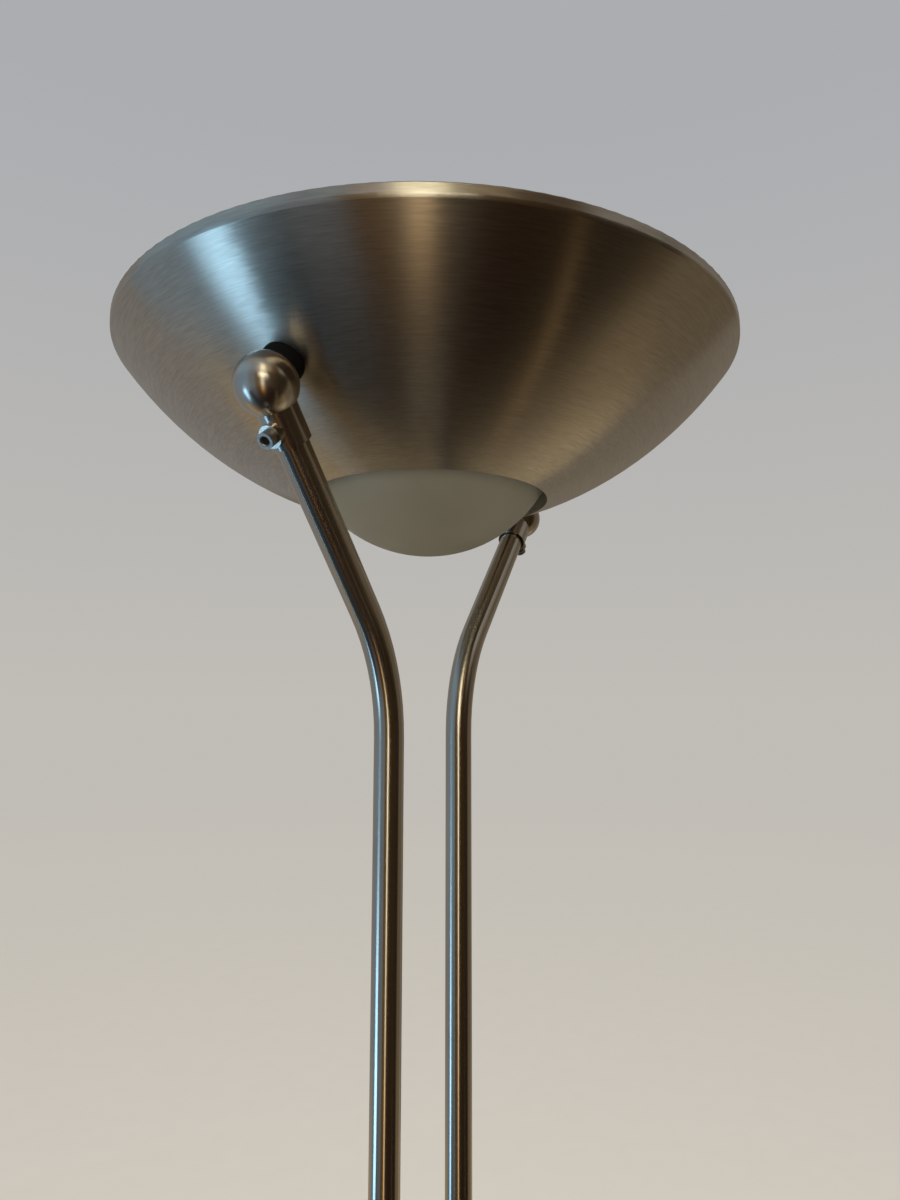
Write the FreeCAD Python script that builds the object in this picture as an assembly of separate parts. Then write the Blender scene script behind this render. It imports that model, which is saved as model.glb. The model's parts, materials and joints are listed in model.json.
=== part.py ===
"""Torchiere floor lamp with two bent poles and an uplighting steel bowl.

Units are millimetres. The origin is the centre of the base's underside, +Z is up,
and the two poles stand in the XZ plane. Every piece is a separate solid in its own node.
"""
import FreeCAD
import Part
import math
import os

V = FreeCAD.Vector
ALONG = V(1, 0, 0)
BACK = V(0, 1, 0)
FORWARD = V(0, -1, 0)
UP = V(0, 0, 1)

# ---------------------------------------------------------------- driving sizes
# Whole lamp
RIM_Z = 1800.0            # height of the bowl's rim
POLE_SPACING = 64.5       # between the two pole axes
POLE_R = 6.25             # outer radius of every pole tube
POLE_WALL = 1.0

# Bowl
BOWL_RIM_R = 140.0
BOWL_SPHERE_R = 175.5     # outer radius of the spun wall
BOWL_WALL = 1.2
BAND_H = 4.5              # upright band under the rim
BAND_FILLET_R = 2.5       # outer rounding between wall and band
BOWL_HOLE_R = 55.5        # hole in the bowl's bottom

# Glass dome
DOME_R = BOWL_HOLE_R + 8.0            # outer radius of the glass sphere
DOME_DROP = 24.5          # how far the glass hangs below the edge of the hole
DOME_WALL = 3.0
DOME_FLANGE_R = BOWL_HOLE_R + 6.5
DOME_FLANGE_H = 3.0
SEAL_THICKNESS = 4.0      # between the bowl and the glass flange, at the flange's edge
SEAL_GAP = 0.5            # between the glass's neck and the seal's bore
CLIP_COUNT = 3
CLIP_THICKNESS = 0.8
CLIP_WIDTH = 10.0
CLIP_FOOT = 9.0
CLIP_RISER_GAP = 1.5      # between the glass flange and a clip's riser
CLIP_FINGER = 6.0         # overlap of a clip on the glass flange

# Knuckles: a ball and a collar on each pole's end
BALL_R = 11.45
BALL_X = BOWL_RIM_R - 25.0            # ball centre from the lamp's axis
BALL_TO_WALL = 14.0       # ball centre to the bowl's outer wall
BALL_FLAT = 8.4           # ball centre to the flat that the spacer sits on
BALL_CAVITY_R = 6.6
COLLAR_R = 7.6
COLLAR_END = 21.8         # ball centre to the collar's open end
POLE_END = 9.6            # ball centre to the end of the pole inside the collar
SPACER_R = 8.0
LEG_ANGLE = 41.4          # lean of the poles above the bend, from the vertical
BEND_R = 77.0             # centreline radius of the bend
BOSS_R = 4.3
BOSS_H = 2.3              # above the collar
GRUB_R = 3.0
GRUB_ALONG = 15.3         # ball centre to the grub screw, along the pole
GRUB_PROUD = 3.4          # grub screw beyond its boss
HEX_FLATS = 3.0
HEX_DEPTH = 4.5
HEX_MOUTH_R = 2.0
COLLAR_MOUTH_R = 6.95     # wide end of the chamfer in the collar's mouth
COLLAR_CHAMFER = 1.0

# Hollow threaded fittings that clamp the bowl
NIPPLE_R = 5.0
NIPPLE_BORE_R = 3.7
NIPPLE_INSET = 4.8        # ball centre to the nipple's inner end
NUT_FLATS = 14.0
NUT_H = 4.5
NIPPLE_PROUD = 1.5        # nipple beyond its nut
SADDLE_T = 2.0            # shaped washer inside the bowl
SADDLE_R = 9.0

# Lamp bracket and halogen lamp inside the bowl
BRACKET_T = 1.5
BRACKET_W = 24.0
BRACKET_SHARE = 0.505     # height of its underside, from the glass flange to the bowl's fittings
BRACKET_REACH = 2.5       # tab beyond the nut
CONTACT_GAP = 114.2       # between the two lamp contacts
LAMP_RISE = 14.0          # lamp axis above the bracket
LAMP_TUBE_R = 5.0
LAMP_TUBE_WALL = 1.0
LAMP_TUBE_L = 88.0
LAMP_END_WEB = 1.2        # flat left in the middle of a rounded tube end
LAMP_CAP_R = 3.5
LAMP_PIP_R = 1.6
LAMP_PIP_L = 0.6          # contact pip beyond the ceramic cap
FILAMENT_R = 0.8
FILAMENT_HOOPS = 5
HOOP_T = 0.5
HOLDER_L = 14.0
HOLDER_W = 20.0
HOLDER_TOP = 9.0          # top of the holders above the lamp axis
HOLDER_CORNER_R = 2.0
HOLDER_SETBACK = 2.4      # holder face behind the contact's face
HOLDER_WEB = 2.5          # wall left behind the contact's bore
HOLDER_SCREW_R = 1.5
HOLDER_SCREW_INSET = 3.2  # screw axis from the holder's side
HOLDER_HEAD_R = 2.7
HOLDER_HEAD_H = 2.0
HOLDER_HEAD_SINK = 3.0
HOLDER_SCREW_PROUD = 3.5  # screw end below the bracket
CONTACT_R = 2.8
CONTACT_PLAY = 0.1
PLUNGER_TRAVEL = 2.0
PLUNGER_HEAD_L = 5.4
PLUNGER_TAIL_R = 1.1
SPRING_WIRE_R = 0.35
SPRING_R = 2.0
SPRING_TURNS = 5
SUPPORT_X = 80.0          # glass supports from the lamp's axis
SUPPORT_T = 1.2
SHELF_L = 7.0
COVER_GLASS_L = 166.0
COVER_GLASS_W = 56.0
COVER_GLASS_T = 3.0
COVER_GLASS_EDGE_R = 0.6
COVER_GLASS_RISE = 15.5   # underside of the cover glass above the lamp axis
GLASS_CLIP_T = 0.8
GLASS_CLIP_W = 8.0
GLASS_CLIP_GAP = 0.2
GLASS_CLIP_HOOK = 6.0
TERMINAL_L = 24.0
TERMINAL_W = 16.0
TERMINAL_H = 13.0
TERMINAL_Y = 3.0          # terminal block from the bracket's edge
TERMINAL_WAY_R = 1.9
TERMINAL_WAY_Z = 4.5      # wire ways above the bracket
TERMINAL_PITCH = 8.0
TERMINAL_SCREW_R = 1.7
TERMINAL_SCREW_L = 5.0
TERMINAL_SCREW_LIFT = 2.1 # screw foot above the way's axis
EAR_MARGIN = 1.0          # ear beyond the terminal block

# Pole sections
JOINT_1_Z = 560.0
JOINT_2_Z = 1150.0
JOINER_L = 60.0           # overall
JOINER_BORE_R = 3.9
SHOULDER_H = 1.6          # ring between two sections
SLIP = 0.05               # radial clearance of sliding metal fits

# Base
BASE_R = 125.0
COVER_T = 1.0
COVER_TOP_Z = 29.0
COVER_FLAT_R = 0.4 * BASE_R
COVER_SHOULDER_Z = 23.0
COVER_SHOULDER_R = BASE_R - 8.0
COVER_LIP_Z = 1.5
PAD_T = 2.5
PAD_R = BASE_R - 4.0
WEIGHT_GAP = 0.3
WEIGHT_RECESS_R = POLE_SPACING / 2 + 25.75
WEIGHT_RECESS_H = 17.0    # depth of the wiring recess under the weight
FLANGE_R = 13.0
FLANGE_H = 9.0
FLANGE_FOOT_H = 3.0       # upright foot of a flange, below its cone
FLANGE_NECK = 2.2         # flange's top beyond the pole
SOCKET_H = 2.0            # depth of the flange's seat for the pole
STUD_BORE_R = 3.2
STUD_R = 5.0
STUD_PLUG_L = 26.0        # part of the stud inside the pole
STUD_PROUD = 1.0          # stud below its nut
WASHER_R = 11.0
WASHER_T = 1.6
WASHER_LAND = 4.0         # raised land on the weight, beyond the washer
HOLE_PLAY = 0.3           # radial room round a threaded part

# Cord inlet in the base's rear
INLET_Z = 8.5
INLET_BORE_R = 3.4
INLET_BODY_R = 4.6
INLET_HEAD_R = 6.2
INLET_HEAD_L = 5.0
INLET_NUT_FLATS = 11.0
INLET_HEAD_EDGE_R = 1.2
INLET_NUT_L = 4.0
INLET_TAIL_L = 4.0        # bushing beyond its nut
CHANNEL_W = 20.0
CHANNEL_H = 12.0

# Dimmer housing across the poles
DIMMER_Z = 1080.0
DIMMER_W = 104.0
DIMMER_H = 70.0
DIMMER_FRONT_D = 15.0
DIMMER_REAR_D = 16.0
DIMMER_WALL = 2.2
DIMMER_CORNER_R = 9.0
DIMMER_EDGE_R = 2.5
DIMMER_INNER_EDGE_R = 0.8
POST_R = 3.8
POST_X = DIMMER_W / 2 - 7.5
POST_Z = DIMMER_H / 2 - 8.0
SCREW_R = 1.5
SCREW_HEAD_R = 2.8
SCREW_HEAD_H = 2.0
SCREW_HEAD_SINK = 0.6
SCREW_PLAY = 0.2
SCREW_CROSS_W = 0.9
SCREW_CROSS_DEPTH = 1.2
PILOT_WEB = 2.0           # plastic left under a screw's pilot hole
BOARD_W = 46.0
BOARD_H = 46.0
BOARD_T = 1.6
BOARD_Y = 3.0             # front face of the board, behind the split
BOARD_POST_R = 2.6
BOARD_POST_INSET = 4.0
BOARD_SCREW_R = 1.05
BOARD_HOLE_R = 1.4
BOARD_HEAD_R = 2.0
BOARD_HEAD_H = 1.2
BOARD_SCREW_L = 5.0       # screw beyond the board
KNOB_R = 15.0
KNOB_H = 13.0
KNOB_GAP = 0.8
KNOB_EDGE_R = 1.5
KNOB_WALL = 2.2
KNOB_HUB_R = 5.6
KNOB_FACE_T = 3.0
KNOB_GRIPS = 24
GRIP_R = 0.9
GRIP_END = 2.0            # smooth ring left at the knob's back
MARK_W = 1.2
MARK_DEPTH = 1.0
MARK_START_R = 5.5
MARK_TURN = 225.0         # pointer of the knob when the lamp is off
POT_W = 17.0
POT_D = 8.0
POT_BUSH_R = 3.5
POT_BUSH_PLAY = 0.15
POT_SHAFT_R = 2.6
POT_SHAFT_IN = 2.0        # shaft inside the potentiometer's body
POT_NUT_FLATS = 10.0
POT_NUT_H = 2.0
POT_NUT_ROOM = 0.6
SHAFT_CAP = 2.5           # knob's face over the shaft's end
CHOKE_R = 8.0
CHOKE_BORE_R = 3.5
CHOKE_H = 7.5
CAPACITOR_W = 13.0
CAPACITOR_H = 12.0
CAPACITOR_D = 7.0
TRIAC_W = 10.0
TRIAC_H = 15.0
TRIAC_D = 4.5
LEAD_R = 1.6
LEAD_BEND_R = 7.0
LEAD_EXIT_R = 5.0
LEAD_PAD_X = 14.0         # leads meet the board this far from its middle
LEAD_PAD_Z = 14.0
LEAD_SPLIT_Z = 5.0        # leads leave the pole this far from the dimmer's middle
WIRE_R = 1.1
BEND_SHARE = 0.45
WIRE_SLOT_W = 6.0
WIRE_SLOT_H = 18.0

FIT = 0.03                # clearance between threads and faces that seat on each other
SEAT_FIT = 0.1            # clearance between spherical seats
OVERCUT = 1.0             # how far a cutting tool runs past the face it opens
nodes = {}


# ---------------------------------------------------------------- shape helpers
def cyl(radius, height, base, direction=UP):
    return Part.makeCylinder(radius, height, base, direction)


def rod(radius, start, end):
    span = end - start
    return Part.makeCylinder(radius, span.Length, start, span)


def tube(outer, inner, height, base, direction=UP):
    return cyl(outer, height, base, direction).cut(cyl(inner, height, base, direction))


def block(x0, x1, y0, y1, z0, z1):
    return Part.makeBox(x1 - x0, y1 - y0, z1 - z0, V(x0, y0, z0))


def line(a, b):
    return Part.LineSegment(a, b).toShape()


def arc(a, mid, b):
    return Part.Arc(a, mid, b).toShape()


def turned(edges):
    """Solid of revolution about the Z axis from edges drawn in the XZ plane."""
    face = Part.Face(Part.Wire(edges))
    return face.revolve(V(0, 0, 0), V(0, 0, 1), 360)


def polygon(points):
    return Part.Face(Part.makePolygon(points + [points[0]]))


def half_turn(shape):
    """Copy of a right-hand piece, turned to the lamp's left side."""
    copy = shape.copy()
    copy.rotate(V(0, 0, 0), V(0, 0, 1), 180)
    return copy


def group(shapes):
    return Part.makeCompound(shapes)


def hex_prism(flats, height, base, direction):
    radius = flats / math.sqrt(3)
    points = []
    for k in range(6):
        turn = math.radians(60 * k)
        points.append(V(radius * math.cos(turn), radius * math.sin(turn), 0))
    prism = polygon(points).extrude(V(0, 0, height))
    prism.Placement = FreeCAD.Placement(base, FreeCAD.Rotation(UP, direction))
    return prism


def bent_path(points, radii):
    """Straight runs joined by tangent arcs; one radius for each inner point."""
    edges = []
    start = points[0]
    for i, radius in enumerate(radii, 1):
        corner = points[i]
        back = (points[i - 1] - corner).normalize()
        ahead = (points[i + 1] - corner).normalize()
        half = 0.5 * math.acos(max(-1.0, min(1.0, back.dot(ahead))))
        trim = radius / math.tan(half)
        into = corner + back * trim
        out = corner + ahead * trim
        bisector = (back + ahead).normalize()
        centre = corner + bisector * (radius / math.sin(half))
        if (into - start).Length > 1e-6:
            edges.append(line(start, into))
        edges.append(arc(into, centre - bisector * radius, out))
        start = out
    edges.append(line(start, points[-1]))
    return Part.Wire(edges)


def swept(points, radii, radius):
    """Round rod along a bent path."""
    path = bent_path(points, radii)
    heading = points[1] - points[0]
    ring = Part.Wire([Part.makeCircle(radius, points[0], heading)])
    return path.makePipeShell([ring], True, True)


def rounded_box(x0, x1, y0, y1, z0, z1, corner, edge, outer_y):
    """Box with upright corners rounded about Y, and a softened edge round its outer Y face."""
    body = block(x0, x1, y0, y1, z0, z1)
    along_y = [e for e in body.Edges if abs(e.tangentAt(e.FirstParameter).y) > 0.99]
    body = body.makeFillet(corner, along_y)
    rim = [e for e in body.Edges
           if abs(e.BoundBox.YMin - outer_y) < 1e-6 and abs(e.BoundBox.YMax - outer_y) < 1e-6]
    return body.makeFillet(edge, rim)


# ---------------------------------------------------------------- shared places
POLE_X = POLE_SPACING / 2
SPHERE_Z = RIM_Z - BAND_H + math.sqrt(BOWL_SPHERE_R ** 2 - BOWL_RIM_R ** 2)
SPHERE_CENTRE = V(0, 0, SPHERE_Z)
BOWL_INNER_R = BOWL_SPHERE_R - BOWL_WALL


def wall_z(sphere_radius, radius):
    """Height of the bowl's spherical surface at a distance from the axis."""
    return SPHERE_Z - math.sqrt(sphere_radius ** 2 - radius ** 2)


HOLE_Z = wall_z(BOWL_SPHERE_R, BOWL_HOLE_R)
BALL = V(BALL_X, 0, SPHERE_Z - math.sqrt((BOWL_SPHERE_R + BALL_TO_WALL) ** 2 - BALL_X ** 2))
SEAT = (SPHERE_CENTRE - BALL).normalize()            # from the ball, square to the wall
ALONG_WALL = V(SEAT.z, 0, -SEAT.x)                   # up and outwards along the wall
LEAN = math.radians(LEG_ANGLE)
LEG = V(-math.sin(LEAN), 0, -math.cos(LEAN))         # down the leaning pole, from the ball
OUTWARD = V(math.cos(LEAN), 0, -math.sin(LEAN))      # square to the leaning pole
BEND_CORNER = BALL + LEG * ((BALL_X - POLE_X) / math.sin(LEAN))
WALL_IN = BALL_TO_WALL + BOWL_WALL                   # ball centre to the bowl's inner wall
FLANGE_TOP_Z = wall_z(BOWL_INNER_R, DOME_FLANGE_R) + SEAL_THICKNESS + DOME_FLANGE_H
TAB = BALL + SEAT * (WALL_IN + SADDLE_T)             # middle of the bracket's tab, where it seats
BRACKET_Z = FLANGE_TOP_Z + BRACKET_SHARE * (TAB.z - FLANGE_TOP_Z)
BRACKET_TOP_Z = BRACKET_Z + BRACKET_T
LAMP_Z = BRACKET_TOP_Z + LAMP_RISE
HOLDER_FACE_X = CONTACT_GAP / 2 + HOLDER_SETBACK
COVER_GLASS_Z = LAMP_Z + COVER_GLASS_RISE
TERMINAL_X = SUPPORT_X - 29.0                        # inner end of the terminal block
POLE_FOOT_Z = COVER_TOP_Z + FLANGE_H - SOCKET_H
DIMMER_CENTRE = V(0, 0, DIMMER_Z)


# ---------------------------------------------------------------- bowl and glass
def make_bowl():
    def at(r, z):
        return V(r, 0, z)

    def wall_arc(sphere_radius, r0, r1):
        mid_r = 0.5 * (r0 + r1)
        return arc(at(r0, wall_z(sphere_radius, r0)), at(mid_r, wall_z(sphere_radius, mid_r)),
                   at(r1, wall_z(sphere_radius, r1)))

    inner_rim_r = BOWL_RIM_R - BOWL_WALL
    out_low = at(BOWL_HOLE_R, HOLE_Z)
    in_low = at(BOWL_HOLE_R, wall_z(BOWL_INNER_R, BOWL_HOLE_R))
    band_out = at(BOWL_RIM_R, RIM_Z - BAND_H)
    band_in = at(inner_rim_r, wall_z(BOWL_INNER_R, inner_rim_r))
    lip_r = BOWL_WALL / 2
    lip_out = at(BOWL_RIM_R, RIM_Z - lip_r)
    lip_top = at(BOWL_RIM_R - lip_r, RIM_Z)
    lip_in = at(inner_rim_r, RIM_Z - lip_r)
    bowl = turned([
        wall_arc(BOWL_SPHERE_R, BOWL_HOLE_R, BOWL_RIM_R),
        line(band_out, lip_out),
        arc(lip_out, lip_top, lip_in),
        line(lip_in, band_in),
        wall_arc(BOWL_INNER_R, inner_rim_r, BOWL_HOLE_R),
        line(in_low, out_low),
    ])
    crease = [e for e in bowl.Edges
              if abs(e.BoundBox.ZMax - band_out.z) < 1e-4 and abs(e.BoundBox.ZLength) < 1e-4
              and abs(e.BoundBox.XMax - BOWL_RIM_R) < 1e-3]
    bowl = bowl.makeFillet(BAND_FILLET_R, crease)
    hole = cyl(NIPPLE_R + HOLE_PLAY, 3 * BALL_TO_WALL, BALL, SEAT)
    bowl = bowl.cut(hole).cut(half_turn(hole))
    nodes["shade_bowl"] = bowl


def make_dome():
    centre_z = HOLE_Z - DOME_DROP + DOME_R
    flange_z = FLANGE_TOP_Z - DOME_FLANGE_H
    neck_r = math.sqrt(DOME_R ** 2 - (centre_z - flange_z) ** 2)
    inner_r = DOME_R - DOME_WALL
    top_z = FLANGE_TOP_Z
    mouth_r = math.sqrt(inner_r ** 2 - (centre_z - top_z) ** 2)

    def on(radius, r):
        return V(r, 0, centre_z - math.sqrt(radius ** 2 - r ** 2))

    dome = turned([
        arc(on(DOME_R, 0), on(DOME_R, 0.6 * neck_r), on(DOME_R, neck_r)),
        line(on(DOME_R, neck_r), V(DOME_FLANGE_R, 0, flange_z)),
        line(V(DOME_FLANGE_R, 0, flange_z), V(DOME_FLANGE_R, 0, top_z)),
        line(V(DOME_FLANGE_R, 0, top_z), on(inner_r, mouth_r)),
        arc(on(inner_r, mouth_r), on(inner_r, 0.6 * mouth_r), on(inner_r, 0)),
        line(on(inner_r, 0), on(DOME_R, 0)),
    ])
    nodes["diffuser_dome"] = dome

    seal_room = 3 * SEAL_THICKNESS
    seal = tube(DOME_FLANGE_R, neck_r + SEAL_GAP, seal_room, V(0, 0, flange_z - seal_room))
    nodes["diffuser_seal"] = seal.common(Part.makeSphere(BOWL_INNER_R - SEAT_FIT, SPHERE_CENTRE))

    # Spring clips: a foot on the bowl, a riser and a finger on the glass flange
    finger_z = top_z + CLIP_THICKNESS
    riser_r = DOME_FLANGE_R + CLIP_RISER_GAP
    riser_out_r = riser_r + CLIP_THICKNESS
    foot_r = riser_r + CLIP_FOOT
    side_y = CLIP_WIDTH / 2

    def seat_z(r):
        return wall_z(BOWL_INNER_R, math.hypot(r, side_y)) + SEAT_FIT

    profile = polygon([
        V(DOME_FLANGE_R - CLIP_FINGER, 0, top_z),
        V(riser_r, 0, top_z),
        V(riser_r, 0, seat_z(riser_r)),
        V(foot_r, 0, seat_z(foot_r)),
        V(foot_r, 0, seat_z(foot_r) + CLIP_THICKNESS),
        V(riser_out_r, 0, seat_z(riser_out_r) + CLIP_THICKNESS),
        V(riser_out_r, 0, finger_z),
        V(DOME_FLANGE_R - CLIP_FINGER, 0, finger_z),
    ])
    profile.translate(V(0, -side_y, 0))
    clip = profile.extrude(V(0, CLIP_WIDTH, 0))
    clips = []
    for k in range(CLIP_COUNT):
        one = clip.copy()
        one.rotate(V(0, 0, 0), V(0, 0, 1), 90 + 360 / CLIP_COUNT * k)
        clips.append(one)
    nodes["diffuser_clips"] = group(clips)


# ---------------------------------------------------------------- knuckles
def make_knuckles():
    ball = Part.makeSphere(BALL_R, BALL)
    collar = rod(COLLAR_R, BALL, BALL + LEG * COLLAR_END)
    boss_foot = BALL + LEG * GRUB_ALONG
    boss = rod(BOSS_R, boss_foot, boss_foot + OUTWARD * (COLLAR_R + BOSS_H))
    body = ball.fuse(collar).fuse(boss)
    body = body.cut(cyl(2 * BALL_R, BALL_R, BALL + SEAT * BALL_FLAT, SEAT))
    body = body.cut(Part.makeSphere(BALL_CAVITY_R, BALL))
    body = body.cut(rod(NIPPLE_R + FIT, BALL, BALL + SEAT * (BALL_FLAT + OVERCUT)))
    body = body.cut(rod(POLE_R + SLIP, BALL + LEG * POLE_END, BALL + LEG * (COLLAR_END + OVERCUT)))
    body = body.cut(rod(POLE_R - 2 * POLE_WALL, BALL, BALL + LEG * COLLAR_END))
    grub_top = COLLAR_R + BOSS_H + GRUB_PROUD
    body = body.cut(rod(GRUB_R + FIT, boss_foot, boss_foot + OUTWARD * (grub_top + OVERCUT)))
    mouth = Part.makeCone(POLE_R + SLIP, COLLAR_MOUTH_R, COLLAR_CHAMFER,
                          BALL + LEG * (COLLAR_END - COLLAR_CHAMFER), LEG)
    body = body.cut(mouth)
    nodes["knuckle_right"] = body
    nodes["knuckle_left"] = half_turn(body)

    grub = rod(GRUB_R, boss_foot + OUTWARD * (POLE_R + FIT), boss_foot + OUTWARD * grub_top)
    mouth_depth = HEX_MOUTH_R - HEX_FLATS / 2
    face = boss_foot + OUTWARD * grub_top
    grub = grub.cut(hex_prism(HEX_FLATS, HEX_DEPTH, face - OUTWARD * HEX_DEPTH, OUTWARD))
    grub = grub.cut(Part.makeCone(HEX_FLATS / 2, HEX_MOUTH_R, mouth_depth, face - OUTWARD * mouth_depth,
                                  OUTWARD))
    nodes["grub_screws"] = group([grub, half_turn(grub)])

    spacer = tube(SPACER_R, NIPPLE_R + HOLE_PLAY, BALL_TO_WALL, BALL + SEAT * BALL_FLAT, SEAT)
    spacer = spacer.cut(Part.makeSphere(BOWL_SPHERE_R + FIT, SPHERE_CENTRE))
    nodes["knuckle_spacer_right"] = spacer
    nodes["knuckle_spacer_left"] = half_turn(spacer)

    saddle = tube(SADDLE_R, NIPPLE_R + HOLE_PLAY, 2 * SADDLE_T, TAB - SEAT * 2 * SADDLE_T, SEAT)
    saddle = saddle.common(Part.makeSphere(BOWL_INNER_R - SEAT_FIT, SPHERE_CENTRE))
    nodes["saddle_washers"] = group([saddle, half_turn(saddle)])

    nut_at = WALL_IN + SADDLE_T + BRACKET_T
    nut = hex_prism(NUT_FLATS, NUT_H, BALL + SEAT * nut_at, SEAT)
    nut = nut.cut(rod(NIPPLE_R + FIT, BALL, BALL + SEAT * (nut_at + NUT_H + OVERCUT)))
    nodes["nipple_nuts"] = group([nut, half_turn(nut)])

    nipple_end = nut_at + NUT_H + NIPPLE_PROUD
    nipple = tube(NIPPLE_R, NIPPLE_BORE_R, nipple_end - NIPPLE_INSET, BALL + SEAT * NIPPLE_INSET, SEAT)
    nodes["nipple_right"] = nipple
    nodes["nipple_left"] = half_turn(nipple)
    return nipple_end


# ---------------------------------------------------------------- poles
def make_poles():
    bore_r = POLE_R - POLE_WALL
    half_ring = SHOULDER_H / 2
    spans = {
        "lower": (POLE_FOOT_Z, JOINT_1_Z - half_ring),
        "middle": (JOINT_1_Z + half_ring, JOINT_2_Z - half_ring),
    }
    slot = swept([V(POLE_X - 2 * POLE_R, 0, DIMMER_Z), V(POLE_X, 0, DIMMER_Z)], [], WIRE_SLOT_W / 2)
    raised = slot.copy()
    raised.translate(V(0, 0, WIRE_SLOT_H - WIRE_SLOT_W))
    bridge = block(POLE_X - 2 * POLE_R, POLE_X, -WIRE_SLOT_W / 2, WIRE_SLOT_W / 2,
                   DIMMER_Z, DIMMER_Z + WIRE_SLOT_H - WIRE_SLOT_W)
    wire_slot = slot.fuse(raised).fuse(bridge)
    wire_slot.translate(V(0, 0, -(WIRE_SLOT_H - WIRE_SLOT_W) / 2))
    for name, (z0, z1) in spans.items():
        pole = tube(POLE_R, bore_r, z1 - z0, V(POLE_X, 0, z0))
        nodes[name + "_pole_left"] = half_turn(pole)
        nodes[name + "_pole_right"] = pole.cut(wire_slot) if name == "middle" else pole

    top = BALL + LEG * POLE_END
    route = [V(POLE_X, 0, JOINT_2_Z + half_ring), BEND_CORNER, top]
    upper = swept(route, [BEND_R], POLE_R).cut(swept(route, [BEND_R], bore_r))
    nodes["upper_pole_right"] = upper
    nodes["upper_pole_left"] = half_turn(upper)

    for level, z in (("lower", JOINT_1_Z), ("upper", JOINT_2_Z)):
        sleeve = cyl(bore_r - SLIP, JOINER_L, V(POLE_X, 0, z - JOINER_L / 2))
        ring = cyl(POLE_R, SHOULDER_H, V(POLE_X, 0, z - half_ring))
        joiner = sleeve.fuse(ring).cut(cyl(JOINER_BORE_R, JOINER_L, V(POLE_X, 0, z - JOINER_L / 2)))
        nodes["pole_joiners_" + level] = group([joiner, half_turn(joiner)])


# ---------------------------------------------------------------- base
def cover_profile(inset, low_z):
    """Turned outline of the base, moved in by a distance from the cover's outer skin."""
    top = COVER_TOP_Z - inset
    shoulder = V(COVER_SHOULDER_R - 0.3 * inset, 0, COVER_SHOULDER_Z - inset)
    run = shoulder.x - COVER_FLAT_R
    drop = top - shoulder.z
    crown_r = (run ** 2 + drop ** 2) / (2 * drop)
    half = 0.5 * math.asin(run / crown_r)
    mid = V(COVER_FLAT_R + crown_r * math.sin(half), 0, top - crown_r * (1 - math.cos(half)))
    side_x = BASE_R - inset
    side = V(side_x, 0, shoulder.z - (side_x - shoulder.x))
    turn_r = side_x - shoulder.x
    edge_mid = V(shoulder.x + turn_r * math.sin(math.pi / 4), 0, side.z + turn_r * math.cos(math.pi / 4))
    return turned([
        line(V(0, 0, low_z), V(0, 0, top)),
        line(V(0, 0, top), V(COVER_FLAT_R, 0, top)),
        arc(V(COVER_FLAT_R, 0, top), mid, shoulder),
        arc(shoulder, edge_mid, side),
        line(side, V(side_x, 0, low_z)),
        line(V(side_x, 0, low_z), V(0, 0, low_z)),
    ])


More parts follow.
